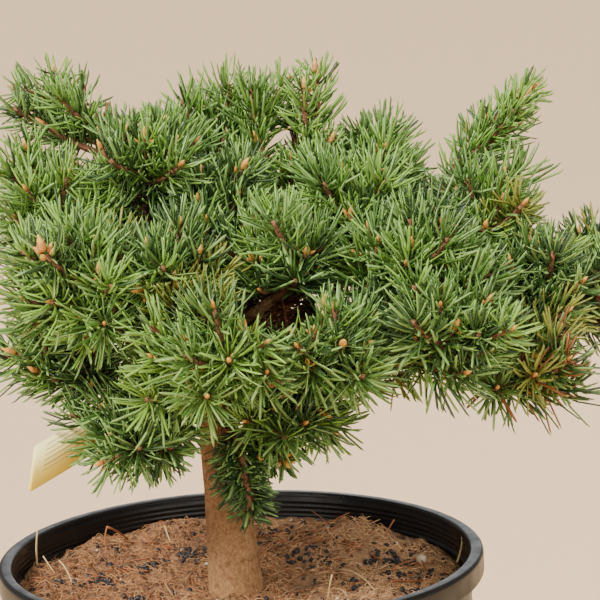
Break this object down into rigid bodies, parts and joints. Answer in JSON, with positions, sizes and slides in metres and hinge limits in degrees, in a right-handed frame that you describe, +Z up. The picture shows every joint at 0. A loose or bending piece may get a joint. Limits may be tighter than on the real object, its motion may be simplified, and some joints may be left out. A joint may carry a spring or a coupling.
{
  "type": "potted dwarf pine",
  "caption": "Dwarf pine on a short clear trunk with a broad flat crown of needled shoots, standing in a round nursery pot.",
  "frame": {"origin": "centre of the pot's flat underside, which is the mount named base", "axes": "+Z up, -Y towards the front, from which the blank label hangs on the left, +X to the right"},
  "size_m": [0.3975, 0.3185, 0.5323],
  "materials": {
    "pot_plastic": "satin black, scuffed",
    "potting_mix": "rough coir and bark with black and white granules",
    "bark": "dry, finely cracked",
    "foliage": "waxy needles",
    "label_plastic": "smooth, white to yellow, blank"
  },
  "bodies": {
    "root": {"bough_back": "bark", "bough_back_left": "bark", "bough_back_right": "bark", "bough_back_top": "bark", "bough_crown_back": "bark", "bough_crown_left": "bark", "bough_crown_right": "bark", "bough_far_back": "bark", "bough_front": "bark", "bough_front_right": "bark", "bough_left": "bark", "bough_left_back": "bark", "bough_left_centre": "bark", "bough_left_front": "bark", "bough_left_low": "bark", "bough_mid_front": "bark", "bough_outer_right": "bark", "bough_right": "bark", "bough_right_front": "bark", "bough_right_front_low": "bark", "bough_right_low": "bark", "bough_right_spire": "bark", "bough_right_upper": "bark", "bough_spires": "bark", "foliage_back": "foliage", "foliage_back_left": "foliage", "foliage_back_right": "foliage", "foliage_back_top": "foliage", "foliage_crown": "foliage", "foliage_crown_back": "foliage", "foliage_crown_left": "foliage", "foliage_crown_right": "foliage", "foliage_far_back": "foliage", "foliage_front": "foliage", "foliage_front_right": "foliage", "foliage_left": "foliage", "foliage_left_centre": "foliage", "foliage_left_droop": "foliage", "foliage_left_fork": "foliage", "foliage_left_front": "foliage", "foliage_left_low": "foliage", "foliage_left_spire": "foliage", "foliage_mid_front": "foliage", "foliage_outer_right": "foliage", "foliage_right": "foliage", "foliage_right_front": "foliage", "foliage_right_front_low": "foliage", "foliage_right_low": "foliage", "foliage_right_spire": "foliage", "foliage_right_upper": "foliage", "foliage_side_sprig": "foliage", "foliage_spire_left": "foliage", "foliage_spires": "foliage", "foliage_sprig": "foliage", "foliage_under_right": "foliage", "label": "label_plastic", "pot": "pot_plastic", "potting_mix": "potting_mix", "trunk": "bark"}
  },
  "joints": []
}
